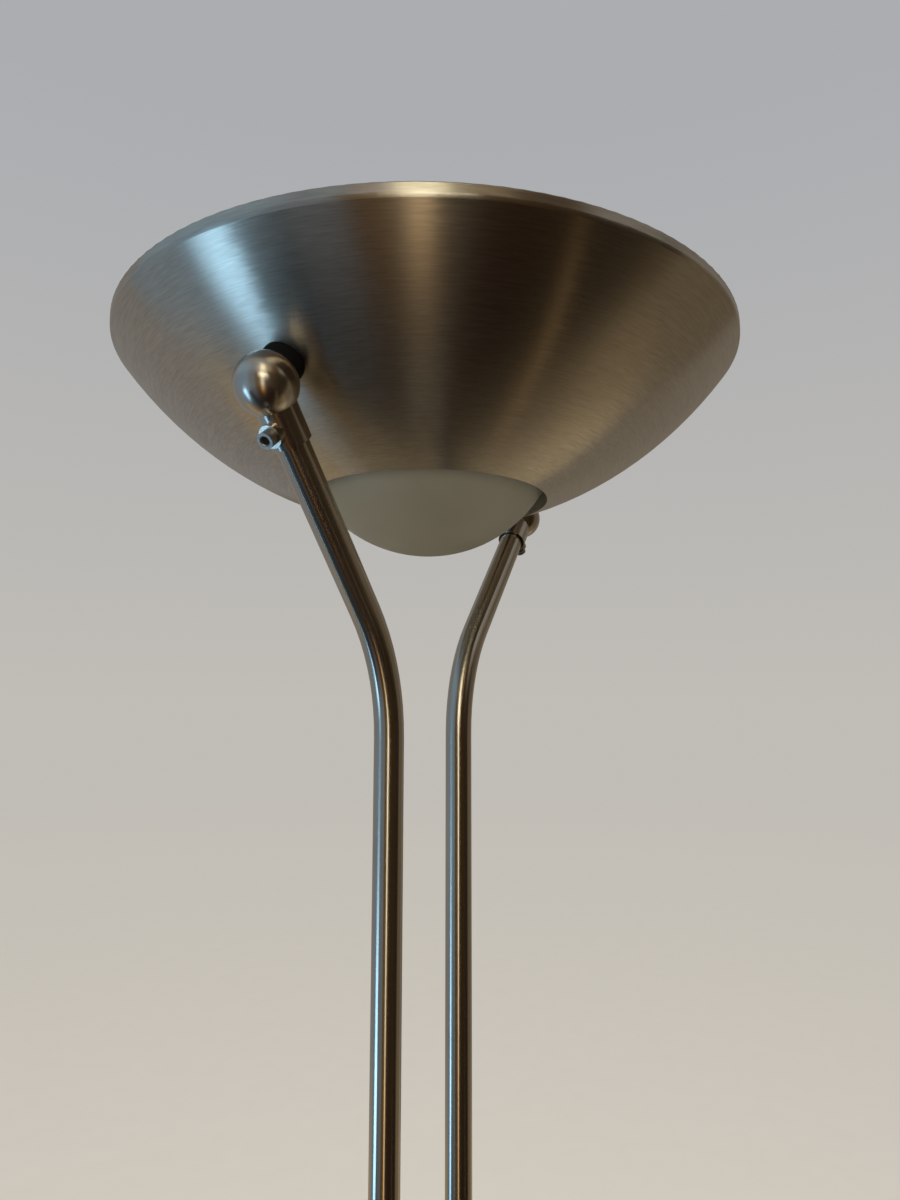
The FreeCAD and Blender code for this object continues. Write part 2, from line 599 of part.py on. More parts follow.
def make_base():
    nodes["base_pad"] = cyl(PAD_R, PAD_T, V(0, 0, 0))

    stud_hole = cyl(STUD_R + HOLE_PLAY, 2 * COVER_TOP_Z, V(POLE_X, 0, 0))
    inlet_hole = cyl(INLET_BODY_R + FIT, BASE_R, V(0, BASE_R / 2, INLET_Z), BACK)
    cover = cover_profile(0, COVER_LIP_Z).cut(cover_profile(COVER_T, COVER_LIP_Z - OVERCUT))
    cover = cover.cut(stud_hole).cut(half_turn(stud_hole)).cut(inlet_hole)
    nodes["base_cover"] = cover

    weight = cover_profile(COVER_T + WEIGHT_GAP, PAD_T)
    recess = cyl(WEIGHT_RECESS_R, WEIGHT_RECESS_H, V(0, 0, PAD_T))
    channel = block(-CHANNEL_W / 2, CHANNEL_W / 2, 0, BASE_R, PAD_T, PAD_T + CHANNEL_H)
    weight = weight.cut(recess).cut(channel).cut(stud_hole).cut(half_turn(stud_hole))
    land = cyl(WASHER_R + WASHER_LAND, WEIGHT_GAP, V(POLE_X, 0, COVER_TOP_Z - COVER_T - WEIGHT_GAP))
    land = land.cut(stud_hole)
    nodes["base_weight"] = weight.fuse(land).fuse(half_turn(land))

    neck_r = POLE_R + FLANGE_NECK
    flange = Part.makeCone(FLANGE_R, neck_r, FLANGE_H - FLANGE_FOOT_H,
                           V(POLE_X, 0, COVER_TOP_Z + FLANGE_FOOT_H))
    flange = flange.fuse(cyl(FLANGE_R, FLANGE_FOOT_H, V(POLE_X, 0, COVER_TOP_Z)))
    flange = flange.cut(cyl(STUD_R + SLIP, FLANGE_H + 2 * OVERCUT, V(POLE_X, 0, COVER_TOP_Z - OVERCUT)))
    flange = flange.cut(cyl(POLE_R + SLIP, SOCKET_H + OVERCUT, V(POLE_X, 0, POLE_FOOT_Z)))
    nodes["pole_flanges"] = group([flange, half_turn(flange)])

    roof_z = PAD_T + WEIGHT_RECESS_H
    washer = tube(WASHER_R, STUD_R + HOLE_PLAY, WASHER_T, V(POLE_X, 0, roof_z - WASHER_T))
    nodes["pole_washers"] = group([washer, half_turn(washer)])
    nut_z = roof_z - WASHER_T - NUT_H
    nut = hex_prism(NUT_FLATS, NUT_H, V(POLE_X, 0, nut_z), UP)
    nut = nut.cut(cyl(STUD_R + FIT, NUT_H, V(POLE_X, 0, nut_z)))
    nodes["pole_nuts"] = group([nut, half_turn(nut)])

    stud_low = nut_z - STUD_PROUD
    stud_l = POLE_FOOT_Z - stud_low
    stud = cyl(STUD_R, stud_l, V(POLE_X, 0, stud_low))
    stud = stud.fuse(cyl(POLE_R - POLE_WALL - SLIP, STUD_PLUG_L, V(POLE_X, 0, POLE_FOOT_Z)))
    stud = stud.cut(cyl(STUD_BORE_R, stud_l + STUD_PLUG_L, V(POLE_X, 0, stud_low)))
    nodes["pole_studs"] = group([stud, half_turn(stud)])

    # Cord inlet: a bushing with a head outside the cover and a nut behind it
    nut_corner = INLET_NUT_FLATS / math.sqrt(3)
    wall_y = math.sqrt((BASE_R - COVER_T) ** 2 - nut_corner ** 2)
    body_in = wall_y - INLET_NUT_L - INLET_TAIL_L
    outer_y = BASE_R + FIT
    bushing = cyl(INLET_BODY_R, outer_y - body_in, V(0, body_in, INLET_Z), BACK)
    head = cyl(INLET_HEAD_R, INLET_HEAD_L, V(0, outer_y, INLET_Z), BACK)
    face_y = outer_y + INLET_HEAD_L
    head_edge = [e for e in head.Edges if abs(e.BoundBox.YMin - face_y) < 1e-6]
    head = head.makeFillet(INLET_HEAD_EDGE_R, head_edge)
    bushing = bushing.fuse(head)
    bushing = bushing.cut(cyl(INLET_BORE_R, 2 * BASE_R, V(0, body_in - OVERCUT, INLET_Z), BACK))
    nodes["cord_inlet"] = bushing
    nut_y = wall_y - FIT - INLET_NUT_L
    nut = hex_prism(INLET_NUT_FLATS, INLET_NUT_L, V(0, nut_y, INLET_Z), BACK)
    nut = nut.cut(cyl(INLET_BODY_R + FIT, INLET_NUT_L, V(0, nut_y, INLET_Z), BACK))
    nodes["cord_inlet_nut"] = nut
    return body_in


# ---------------------------------------------------------------- dimmer
def dimmer_shell(y_out):
    """Half of the dimmer's box, open towards the split, and the place of its inner face."""
    x1 = DIMMER_W / 2
    z0 = DIMMER_Z - DIMMER_H / 2
    z1 = DIMMER_Z + DIMMER_H / 2
    wall = DIMMER_WALL
    y_in = y_out - math.copysign(wall, y_out)
    low, high = sorted((0.0, y_out))
    outer = rounded_box(-x1, x1, low, high, z0, z1, DIMMER_CORNER_R, DIMMER_EDGE_R, y_out)
    low, high = sorted((0.0, y_in))
    inner = rounded_box(-x1 + wall, x1 - wall, low, high, z0 + wall, z1 - wall,
                        DIMMER_CORNER_R - wall, DIMMER_INNER_EDGE_R, y_in)
    pole_way = cyl(POLE_R + SLIP, 2 * DIMMER_H, V(POLE_X, 0, DIMMER_Z - DIMMER_H))
    return outer.cut(inner).cut(pole_way).cut(half_turn(pole_way)), y_in


def corners(half_width, half_height):
    """Four places about the dimmer's middle."""
    return [V(sx * half_width, 0, DIMMER_Z + sz * half_height) for sx in (-1, 1) for sz in (-1, 1)]


def make_dimmer_box():
    front, front_in = dimmer_shell(-DIMMER_FRONT_D)
    rear, rear_in = dimmer_shell(DIMMER_REAR_D)
    head_seat = DIMMER_REAR_D - SCREW_HEAD_H - SCREW_HEAD_SINK
    cross_half = SCREW_CROSS_W / 2
    cross_reach = 0.7 * SCREW_HEAD_R
    screws = []
    for spot in corners(POST_X, POST_Z):
        post = cyl(POST_R, SLIP - front_in, spot + BACK * (front_in - SLIP), BACK)
        pilot = cyl(SCREW_R + FIT, -front_in - PILOT_WEB, spot + BACK * (front_in + PILOT_WEB), BACK)
        front = front.fuse(post).cut(pilot)
        rear = rear.fuse(cyl(POST_R, rear_in + SLIP, spot, BACK))
        rear = rear.cut(cyl(SCREW_R + SCREW_PLAY, 2 * DIMMER_REAR_D, spot, BACK))
        rear = rear.cut(cyl(SCREW_HEAD_R + SCREW_PLAY, DIMMER_REAR_D, spot + BACK * head_seat, BACK))
        head = cyl(SCREW_HEAD_R, SCREW_HEAD_H, spot + BACK * head_seat, BACK)
        cross_y = head_seat + SCREW_HEAD_H - SCREW_CROSS_DEPTH
        arm = block(spot.x - cross_reach, spot.x + cross_reach, cross_y, DIMMER_REAR_D,
                    spot.z - cross_half, spot.z + cross_half)
        crossed = arm.copy()
        crossed.rotate(spot, BACK, 90)
        shaft = rod(SCREW_R, spot + BACK * (front_in + PILOT_WEB + OVERCUT), spot + BACK * head_seat)
        screws.append(head.fuse(shaft).cut(arm).cut(crossed))
    nodes["dimmer_screws"] = group(screws)

    # Circuit board on four posts of the rear shell
    board_back = BOARD_Y + BOARD_T
    board = block(-BOARD_W / 2, BOARD_W / 2, BOARD_Y, board_back,
                  DIMMER_Z - BOARD_H / 2, DIMMER_Z + BOARD_H / 2)
    board_screws = []
    post_l = rear_in - board_back
    for spot in corners(BOARD_W / 2 - BOARD_POST_INSET, BOARD_H / 2 - BOARD_POST_INSET):
        rear = rear.fuse(cyl(BOARD_POST_R, post_l + SLIP, spot + BACK * board_back, BACK))
        rear = rear.cut(cyl(BOARD_SCREW_R + SLIP, post_l - OVERCUT, spot + BACK * board_back, BACK))
        board = board.cut(cyl(BOARD_HOLE_R, 4 * BOARD_T, spot + BACK * (BOARD_Y - BOARD_T), BACK))
        head = cyl(BOARD_HEAD_R, BOARD_HEAD_H, spot + BACK * BOARD_Y, FORWARD)
        shaft = rod(BOARD_SCREW_R, spot + BACK * BOARD_Y, spot + BACK * (board_back + BOARD_SCREW_L))
        board_screws.append(head.fuse(shaft))
    nodes["dimmer_board"] = board
    nodes["board_screws"] = group(board_screws)
    nodes["dimmer_rear"] = rear
    bush_hole = cyl(POT_BUSH_R + POT_BUSH_PLAY, 3 * DIMMER_WALL,
                    DIMMER_CENTRE - BACK * (DIMMER_FRONT_D + OVERCUT), BACK)
    nodes["dimmer_front"] = front.cut(bush_hole)


def make_dimmer_control():
    # Potentiometer and its nut
    pot_front = BOARD_Y - POT_D
    nut_seat = -DIMMER_FRONT_D
    bush_len = pot_front - nut_seat + POT_NUT_H + POT_NUT_ROOM
    pot = block(-POT_W / 2, POT_W / 2, pot_front, BOARD_Y, DIMMER_Z - POT_W / 2, DIMMER_Z + POT_W / 2)
    pot = pot.fuse(cyl(POT_BUSH_R, bush_len, DIMMER_CENTRE + BACK * pot_front, FORWARD))
    shaft_y = pot_front + POT_SHAFT_IN
    shaft_bore = cyl(POT_SHAFT_R + SLIP, bush_len + POT_SHAFT_IN + OVERCUT,
                     DIMMER_CENTRE + BACK * shaft_y, FORWARD)
    nodes["potentiometer"] = pot.cut(shaft_bore)
    nut = hex_prism(POT_NUT_FLATS, POT_NUT_H, DIMMER_CENTRE + BACK * nut_seat, FORWARD)
    nut_bore = cyl(POT_BUSH_R + FIT, POT_NUT_H + OVERCUT, DIMMER_CENTRE + BACK * nut_seat, FORWARD)
    nodes["potentiometer_nut"] = nut.cut(nut_bore)

    # Knob with grip flutes, hollow behind its face, and the shaft it sits on
    knob_back = nut_seat - KNOB_GAP
    seat = DIMMER_CENTRE + BACK * knob_back
    face_y = knob_back - KNOB_H
    knob = cyl(KNOB_R, KNOB_H, seat, FORWARD)
    knob = knob.makeFillet(KNOB_EDGE_R, [e for e in knob.Edges if abs(e.BoundBox.YMax - face_y) < 1e-6])
    for k in range(KNOB_GRIPS):
        turn = 2 * math.pi * k / KNOB_GRIPS
        around = V(math.cos(turn), 0, math.sin(turn)) * KNOB_R
        knob = knob.cut(cyl(GRIP_R, KNOB_H - GRIP_END, seat - BACK * (KNOB_H + OVERCUT) + around, BACK))
    knob = knob.cut(tube(KNOB_R - KNOB_WALL, KNOB_HUB_R, KNOB_H - KNOB_FACE_T, seat, FORWARD))
    nut_room = POT_NUT_H + 2 * POT_NUT_ROOM - KNOB_GAP
    knob = knob.cut(cyl(KNOB_HUB_R + POT_NUT_ROOM, nut_room, seat, FORWARD))
    shaft_l = KNOB_H - SHAFT_CAP
    knob = knob.cut(cyl(POT_SHAFT_R + FIT, shaft_l, seat, FORWARD))
    mark = block(-MARK_W / 2, MARK_W / 2, face_y - OVERCUT, face_y + MARK_DEPTH / 2,
                 DIMMER_Z + MARK_START_R, DIMMER_Z + KNOB_R - KNOB_WALL)
    mark.rotate(DIMMER_CENTRE, BACK, MARK_TURN)
    nodes["dimmer_knob"] = knob.cut(mark)
    nodes["knob_shaft"] = rod(POT_SHAFT_R, DIMMER_CENTRE + BACK * (shaft_y - SLIP),
                              seat + FORWARD * (shaft_l - SLIP))

    # Parts standing on the board's rear face, clear of each other round its middle
    face = BOARD_Y + BOARD_T
    choke_at = V(-CHOKE_R - OVERCUT, face, DIMMER_Z + CHOKE_R)
    nodes["dimmer_choke"] = tube(CHOKE_R, CHOKE_BORE_R, CHOKE_H, choke_at, BACK)
    x0 = CHOKE_R / 2
    z0 = DIMMER_Z + OVERCUT
    nodes["dimmer_capacitor"] = block(x0, x0 + CAPACITOR_W, face, face + CAPACITOR_D, z0, z0 + CAPACITOR_H)
    z1 = DIMMER_Z - CHOKE_BORE_R
    nodes["dimmer_triac"] = block(x0 - TRIAC_W, x0, face, face + TRIAC_D, z1 - TRIAC_H, z1)


# ---------------------------------------------------------------- lamp gear in the bowl
def make_bracket():
    tab_high = TAB + SEAT * BRACKET_T

    def meet(point, z):
        return point + ALONG_WALL * ((z - point.z) / ALONG_WALL.z)

    reach = ALONG_WALL * (NUT_FLATS / 2 + BRACKET_REACH)
    right = [meet(TAB, BRACKET_Z), TAB + reach, tab_high + reach, meet(tab_high, BRACKET_TOP_Z)]
    left = [V(-p.x, 0, p.z) for p in reversed(right)]
    half_w = BRACKET_W / 2
    strip = polygon(right + left)
    strip.translate(V(0, -half_w, 0))
    bracket = strip.extrude(V(0, BRACKET_W, 0))
    nipple_hole = rod(NIPPLE_R + SCREW_PLAY, BALL, tab_high + SEAT * BRACKET_T)
    bracket = bracket.cut(nipple_hole).cut(half_turn(nipple_hole))

    # Ear for the terminal block, and two upright supports for the cover glass
    ear = block(TERMINAL_X - EAR_MARGIN, TERMINAL_X + TERMINAL_L + EAR_MARGIN, half_w - OVERCUT,
                half_w + TERMINAL_Y + TERMINAL_W + EAR_MARGIN, BRACKET_Z, BRACKET_TOP_Z)
    bracket = bracket.fuse(ear)
    for side in (-1, 1):
        x0, x1 = sorted((side * SUPPORT_X, side * (SUPPORT_X - SUPPORT_T)))
        upright = block(x0, x1, -half_w, half_w, BRACKET_Z, COVER_GLASS_Z)
        x0, x1 = sorted((side * SUPPORT_X, side * (SUPPORT_X - SHELF_L)))
        shelf = block(x0, x1, -half_w, half_w, COVER_GLASS_Z - SUPPORT_T, COVER_GLASS_Z)
        bracket = bracket.fuse(upright).fuse(shelf)
    nodes["lamp_bracket"] = bracket.removeSplitter()


def make_cover_glass():
    end_x = COVER_GLASS_L / 2
    side_y = COVER_GLASS_W / 2
    top = COVER_GLASS_Z + COVER_GLASS_T
    glass = block(-end_x, end_x, -side_y, side_y, COVER_GLASS_Z, top)
    nodes["cover_glass"] = glass.makeFillet(COVER_GLASS_EDGE_R, glass.Edges)

    # Spring clips lie on the supports' outer faces and press on the glass's upper face
    thin = GLASS_CLIP_T
    under = COVER_GLASS_Z - GLASS_CLIP_GAP
    out_x = end_x + GLASS_CLIP_GAP
    hook_z = COVER_GLASS_Z - GLASS_CLIP_HOOK
    clip = polygon([
        V(SUPPORT_X, 0, hook_z),
        V(SUPPORT_X + thin, 0, hook_z),
        V(SUPPORT_X + thin, 0, under - thin),
        V(out_x + thin, 0, under - thin),
        V(out_x + thin, 0, top + thin),
        V(end_x - GLASS_CLIP_HOOK, 0, top + thin),
        V(end_x - GLASS_CLIP_HOOK, 0, top),
        V(out_x, 0, top),
        V(out_x, 0, under),
        V(SUPPORT_X, 0, under),
    ])
    clip.translate(V(0, -GLASS_CLIP_W / 2, 0))
    clip = clip.extrude(V(0, GLASS_CLIP_W, 0))
    nodes["cover_glass_clips"] = group([clip, half_turn(clip)])


def make_holders():
    x0 = HOLDER_FACE_X
    top_z = LAMP_Z + HOLDER_TOP
    holder = block(x0, x0 + HOLDER_L, -HOLDER_W / 2, HOLDER_W / 2, BRACKET_TOP_Z, top_z)
    upright_edges = [e for e in holder.Edges if abs(e.tangentAt(e.FirstParameter).z) > 0.99]
    holder = holder.makeFillet(HOLDER_CORNER_R, upright_edges)
    bore_depth = HOLDER_L - HOLDER_WEB
    holder = holder.cut(cyl(CONTACT_R + SLIP, bore_depth, V(x0, 0, LAMP_Z), ALONG))
    seat_z = top_z - HOLDER_HEAD_SINK
    foot_z = BRACKET_Z - HOLDER_SCREW_PROUD
    screws = []
    for side in (-1, 1):
        spot = V(x0 + HOLDER_L / 2, side * (HOLDER_W / 2 - HOLDER_SCREW_INSET), 0)
        way = cyl(HOLDER_SCREW_R + SCREW_PLAY, top_z - foot_z, spot + UP * foot_z)
        holder = holder.cut(way)
        holder = holder.cut(cyl(HOLDER_HEAD_R + SCREW_PLAY, HOLDER_TOP, spot + UP * seat_z))
        head = cyl(HOLDER_HEAD_R, HOLDER_HEAD_H, spot + UP * seat_z)
        screws.append(head.fuse(cyl(HOLDER_SCREW_R, seat_z - foot_z, spot + UP * foot_z)))
        bracket_way = cyl(HOLDER_SCREW_R + SLIP, HOLDER_TOP, spot + UP * foot_z)
        nodes["lamp_bracket"] = nodes["lamp_bracket"].cut(bracket_way).cut(half_turn(bracket_way))
    nodes["lampholder_right"] = holder
    nodes["lampholder_left"] = half_turn(holder)
    nodes["holder_screws"] = group(screws + [half_turn(s) for s in screws])

    # One fixed contact, and one plunger pushed out by a spring behind its head
    face = V(CONTACT_GAP / 2, 0, LAMP_Z)
    fixed = cyl(CONTACT_R, HOLDER_SETBACK + bore_depth - CONTACT_PLAY, face, ALONG)
    nodes["contact_left"] = half_turn(fixed)
    tail_l = HOLDER_SETBACK + bore_depth - PLUNGER_TRAVEL - 3 * CONTACT_PLAY
    plunger = cyl(CONTACT_R, PLUNGER_HEAD_L, face, ALONG).fuse(cyl(PLUNGER_TAIL_R, tail_l, face, ALONG))
    nodes["contact_plunger"] = plunger
    spring_end = x0 + bore_depth - SPRING_WIRE_R - FIT
    spring_start = face.x + PLUNGER_HEAD_L + PLUNGER_TRAVEL + SPRING_WIRE_R + CONTACT_PLAY
    coil_l = spring_end - spring_start
    helix = Part.makeHelix(coil_l / SPRING_TURNS, coil_l, SPRING_R)
    ring = Part.Wire([Part.makeCircle(SPRING_WIRE_R, V(SPRING_R, 0, 0), BACK)])
    spring = Part.Wire(helix).makePipeShell([ring], True, True)
    spring.Placement = FreeCAD.Placement(V(spring_start, 0, LAMP_Z), FreeCAD.Rotation(UP, ALONG))
    nodes["contact_spring"] = spring


def make_lamp():
    """Linear halogen lamp between the contacts."""
    quartz = cyl(LAMP_TUBE_R, LAMP_TUBE_L, V(-LAMP_TUBE_L / 2, 0, LAMP_Z), ALONG)
    quartz = quartz.makeFillet(LAMP_TUBE_R - LAMP_END_WEB, quartz.Edges)
    room_l = LAMP_TUBE_L - 2 * LAMP_TUBE_WALL
    room_r = LAMP_TUBE_R - LAMP_TUBE_WALL
    room = cyl(room_r, room_l, V(-room_l / 2, 0, LAMP_Z), ALONG)
    room = room.makeFillet(room_r - LAMP_END_WEB, room.Edges)
    nodes["lamp_tube"] = quartz.cut(room)

    tip_x = CONTACT_GAP / 2 - FIT
    cap_x = LAMP_TUBE_L / 2 + FIT
    cap = cyl(LAMP_CAP_R, tip_x - LAMP_PIP_L - cap_x, V(cap_x, 0, LAMP_Z), ALONG)
    pip = cyl(LAMP_PIP_R, 2 * LAMP_PIP_L, V(tip_x - 2 * LAMP_PIP_L, 0, LAMP_Z), ALONG)
    cap = cap.fuse(pip)
    nodes["lamp_caps"] = group([cap, half_turn(cap)])

    coil_half = room_l / 2 - LAMP_TUBE_WALL
    filament = cyl(FILAMENT_R, 2 * coil_half, V(-coil_half, 0, LAMP_Z), ALONG)
    hoop_r = room_r - 3 * SLIP
    for k in range(FILAMENT_HOOPS):
        x = coil_half * (2 * k / (FILAMENT_HOOPS - 1) - 1) * 2 / 3 - HOOP_T / 2
        hoop = tube(hoop_r, hoop_r - HOOP_T, HOOP_T, V(x, 0, LAMP_Z), ALONG)
        spoke = block(x, x + HOOP_T, -HOOP_T / 2, HOOP_T / 2, LAMP_Z - hoop_r + HOOP_T / 2, LAMP_Z)
        filament = filament.fuse(hoop).fuse(spoke)
    nodes["lamp_filament"] = filament


def make_terminals():
    """Terminal block on the bracket's ear; returns the rear mouths of its wire ways."""
    y0 = BRACKET_W / 2 + TERMINAL_Y
    y1 = y0 + TERMINAL_W
    way_z = BRACKET_TOP_Z + TERMINAL_WAY_Z
    terminal = block(TERMINAL_X, TERMINAL_X + TERMINAL_L, y0, y1, BRACKET_TOP_Z, BRACKET_TOP_Z + TERMINAL_H)
    screws = []
    ways = []
    for k in range(3):
        x = TERMINAL_X + TERMINAL_PITCH * (k + 0.5)
        ways.append(V(x, y1, way_z))
        way = cyl(TERMINAL_WAY_R, TERMINAL_W + 2 * OVERCUT, V(x, y0 - OVERCUT, way_z), BACK)
        terminal = terminal.cut(way)
        for y in (y0 + TERMINAL_W / 4, y1 - TERMINAL_W / 4):
            terminal = terminal.cut(cyl(TERMINAL_SCREW_R + CONTACT_PLAY, TERMINAL_H, V(x, y, way_z)))
            screws.append(cyl(TERMINAL_SCREW_R, TERMINAL_SCREW_L, V(x, y, way_z + TERMINAL_SCREW_LIFT)))
    nodes["terminal_block"] = terminal
    nodes["terminal_screws"] = group(screws)
    return ways


# ---------------------------------------------------------------- leads held inside
def lead(points, fixed, radius):
    """Round lead with bends as wide as its runs allow, unless a bend's radius is fixed."""
    radii = []
    for i in range(1, len(points) - 1):
        back = points[i - 1] - points[i]
        ahead = points[i + 1] - points[i]
        turn = math.pi - back.getAngle(ahead)
        widest = BEND_SHARE * min(back.Length, ahead.Length) / math.tan(turn / 2)
        radii.append(fixed.get(i, widest))
    return swept(points, radii, radius)


def make_mains_lead(inlet_in):
    floor_z = PAD_T + LEAD_R + HOLE_PLAY
    exit_z = DIMMER_Z - LEAD_SPLIT_Z
    pad_z = DIMMER_Z - LEAD_PAD_Z
    pad_y = BOARD_Y - SCREW_PLAY
    route = [
        V(0, inlet_in - 4 * LEAD_R, INLET_Z),
        V(0, inlet_in - 4 * LEAD_BEND_R, INLET_Z),
        V(0.03 * WEIGHT_RECESS_R, 0.86 * WEIGHT_RECESS_R, floor_z),
        V(0.2 * WEIGHT_RECESS_R, 0.31 * WEIGHT_RECESS_R, floor_z),
        V(POLE_X, 0, floor_z),
        V(POLE_X, 0, exit_z),
        V(0.62 * POLE_X, 0, exit_z),
        V(LEAD_PAD_X, pad_y - 2 * LEAD_R - FIT, pad_z),
        V(LEAD_PAD_X, pad_y, pad_z),
    ]
    nodes["mains_lead"] = lead(route, {4: LEAD_BEND_R, 5: LEAD_EXIT_R}, LEAD_R)


def make_lamp_lead(nipple_end, entry):
    exit_z = DIMMER_Z + LEAD_SPLIT_Z
    pad_z = DIMMER_Z + LEAD_PAD_Z
    pad_y = BOARD_Y - SCREW_PLAY
    past_nipple = BALL + SEAT * (nipple_end + 1.15 * LEAD_BEND_R)
    route = [
        V(LEAD_PAD_X, pad_y, pad_z),
        V(LEAD_PAD_X, pad_y - 2 * LEAD_R - FIT, pad_z),
        V(0.62 * POLE_X, 0, exit_z),
        V(POLE_X, 0, exit_z),
        BEND_CORNER,
        BALL,
        past_nipple,
        V(BALL_X - 22, 22, past_nipple.z - 1),
        V(BALL_X - 31, entry.y + 6, past_nipple.z - 12),
        V(entry.x, entry.y + 11, entry.z),
        entry - BACK * 2,
    ]
    bends = {3: LEAD_EXIT_R, 4: BEND_R, 5: LEAD_EXIT_R, 6: LEAD_BEND_R}
    nodes["lamp_lead"] = lead(route, bends, LEAD_R)


def make_holder_leads(terminals):
    """Two short leads from the terminals to the holders."""
    first, second = terminals[0], terminals[1]
    near_y = first.y - TERMINAL_W
    strip_z = BRACKET_TOP_Z + WIRE_R + CONTACT_PLAY
    to_right = rod(WIRE_R, V(second.x, near_y, second.z), V(second.x, HOLDER_W / 2, second.z))
    to_left = [
        V(first.x, near_y, first.z),
        V(first.x - 2, near_y - 6, first.z - 1.5),
        V(first.x - 13, near_y - 6, strip_z),
        V(-first.x + 13, near_y - 6, strip_z),
        V(8 - HOLDER_FACE_X, near_y - 8, strip_z + 3),
        V(-HOLDER_FACE_X, near_y - 8, strip_z + 3),
    ]
    nodes["holder_leads"] = group([to_right, lead(to_left, {}, WIRE_R)])


make_bowl()
make_dome()
nipple_tip = make_knuckles()
make_poles()
inlet_inner_y = make_base()
make_dimmer_box()
make_dimmer_control()
make_bracket()
make_cover_glass()
make_holders()
make_lamp()
terminal_ways = make_terminals()
make_mains_lead(inlet_inner_y)
make_lamp_lead(nipple_tip, terminal_ways[2])
make_holder_leads(terminal_ways)

os.makedirs("parts", exist_ok=True)
for node, shape in nodes.items():
    shape.exportStep(os.path.join("parts", node + ".step"))
    solids = shape.Solids
    print(node, "solids", len(solids), "valid", shape.isValid(), "volume", round(shape.Volume, 1))
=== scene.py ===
"""Looks of the torchiere floor lamp: camera, finishes, floor, light, and cards that only gloss shows."""
import json
import math

import bpy
from mathutils import Matrix, Vector


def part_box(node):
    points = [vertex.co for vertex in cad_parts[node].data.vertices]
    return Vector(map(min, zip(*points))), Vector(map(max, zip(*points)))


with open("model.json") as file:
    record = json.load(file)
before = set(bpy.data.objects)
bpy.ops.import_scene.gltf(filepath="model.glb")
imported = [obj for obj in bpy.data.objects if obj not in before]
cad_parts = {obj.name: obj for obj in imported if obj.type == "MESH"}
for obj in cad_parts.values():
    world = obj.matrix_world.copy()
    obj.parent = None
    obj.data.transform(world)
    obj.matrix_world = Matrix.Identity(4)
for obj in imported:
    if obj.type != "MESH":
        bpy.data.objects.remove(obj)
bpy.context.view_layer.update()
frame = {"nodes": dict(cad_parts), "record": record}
UP = Vector((0.0, 0.0, 1.0))

# ---------------------------------------------------------------- camera
# Fitted to the bowl's rim and outline and to the poles, as the photo shows them
CAMERA_PLACE = Vector((-0.3192, -0.1758, 1.6435))
CAMERA_HEADING = math.radians(27.19)
CAMERA_PITCH = math.radians(7.13)
CAMERA_ROLL = math.radians(0.07)
LENS_MM = 23.92
SENSOR_MM = 36.0
NEAR_CLIP = 0.01
FAR_CLIP = 100.0


def make_camera():
    """The photo's camera: it looks slightly up, and is rolled by less than a tenth of a degree."""
    level = Vector((math.cos(CAMERA_HEADING), math.sin(CAMERA_HEADING), 0.0))
    forward = level * math.cos(CAMERA_PITCH) + UP * math.sin(CAMERA_PITCH)
    right = level.cross(UP)
    above = right.cross(forward)
    side = right * math.cos(CAMERA_ROLL) + above * math.sin(CAMERA_ROLL)
    top = above * math.cos(CAMERA_ROLL) - right * math.sin(CAMERA_ROLL)
    data = bpy.data.cameras.new("camera")
    data.lens = LENS_MM
    data.sensor_width = SENSOR_MM
    data.clip_start = NEAR_CLIP
    data.clip_end = FAR_CLIP
    camera = bpy.data.objects.new("camera", data)
    bpy.context.scene.collection.objects.link(camera)
    turn = Matrix((side, top, -forward)).transposed()
    camera.matrix_world = Matrix.Translation(CAMERA_PLACE) @ turn.to_4x4()
    bpy.context.scene.camera = camera


# ---------------------------------------------------------------- node helpers
class Nodes:
    """A node tree, with short calls for the nodes used here."""

    def __init__(self, owner):
        owner.use_nodes = True
        self.tree = owner.node_tree

    def node(self, kind, inputs=(), **settings):
        made = self.tree.nodes.new(kind)
        for key, value in settings.items():
            setattr(made, key, value)
        for key, value in dict(inputs).items():
            if isinstance(value, bpy.types.NodeSocket):
                self.tree.links.new(value, made.inputs[key])
            else:
                made.inputs[key].default_value = value
        return made

    def math(self, operation, a, b=0.0):
        return self.node("ShaderNodeMath", {0: a, 1: b}, operation=operation).outputs[0]

    def weighted(self, *terms):
        """The sum of some values, each times its weight."""
        shares = [self.math("MULTIPLY", value, weight) for value, weight in terms]
        total = shares[0]
        for share in shares[1:]:
            total = self.math("ADD", total, share)
        return total

    def vector(self, operation, a, b=None, scale=None):
        inputs = {0: a}
        if b is not None:
            inputs[1] = b
        if scale is not None:
            inputs["Scale"] = scale
        made = self.node("ShaderNodeVectorMath", inputs, operation=operation)
        return made.outputs["Value" if operation == "LENGTH" else "Vector"]

    def parts(self, vector):
        return self.node("ShaderNodeSeparateXYZ", {0: vector}).outputs

    def joined(self, x, y, z):
        return self.node("ShaderNodeCombineXYZ", {0: x, 1: y, 2: z}).outputs[0]

    def place(self, coordinates="Object"):
        return self.node("ShaderNodeTexCoord").outputs[coordinates]

    def noise(self, scale, detail, rough=0.5, place=None):
        """Noise from 0 to 1, with scale patches in a metre unless its place is stretched."""
        inputs = {"Vector": place or self.place(), "Scale": scale, "Detail": detail, "Roughness": rough}
        return self.node("ShaderNodeTexNoise", inputs).outputs[0]

    def remap(self, value, low, high, span=(0.0, 1.0)):
        """Runs from low to high while the value goes through the span, and stays there past it."""
        start, end = span
        inputs = {"Value": value, "From Min": start, "From Max": end, "To Min": low, "To Max": high}
        return self.node("ShaderNodeMapRange", inputs).outputs[0]

    def blend(self, factor, a, b):
        inputs = {0: factor, 6: (*a, 1.0), 7: (*b, 1.0)}
        return self.node("ShaderNodeMix", inputs, data_type="RGBA").outputs[2]


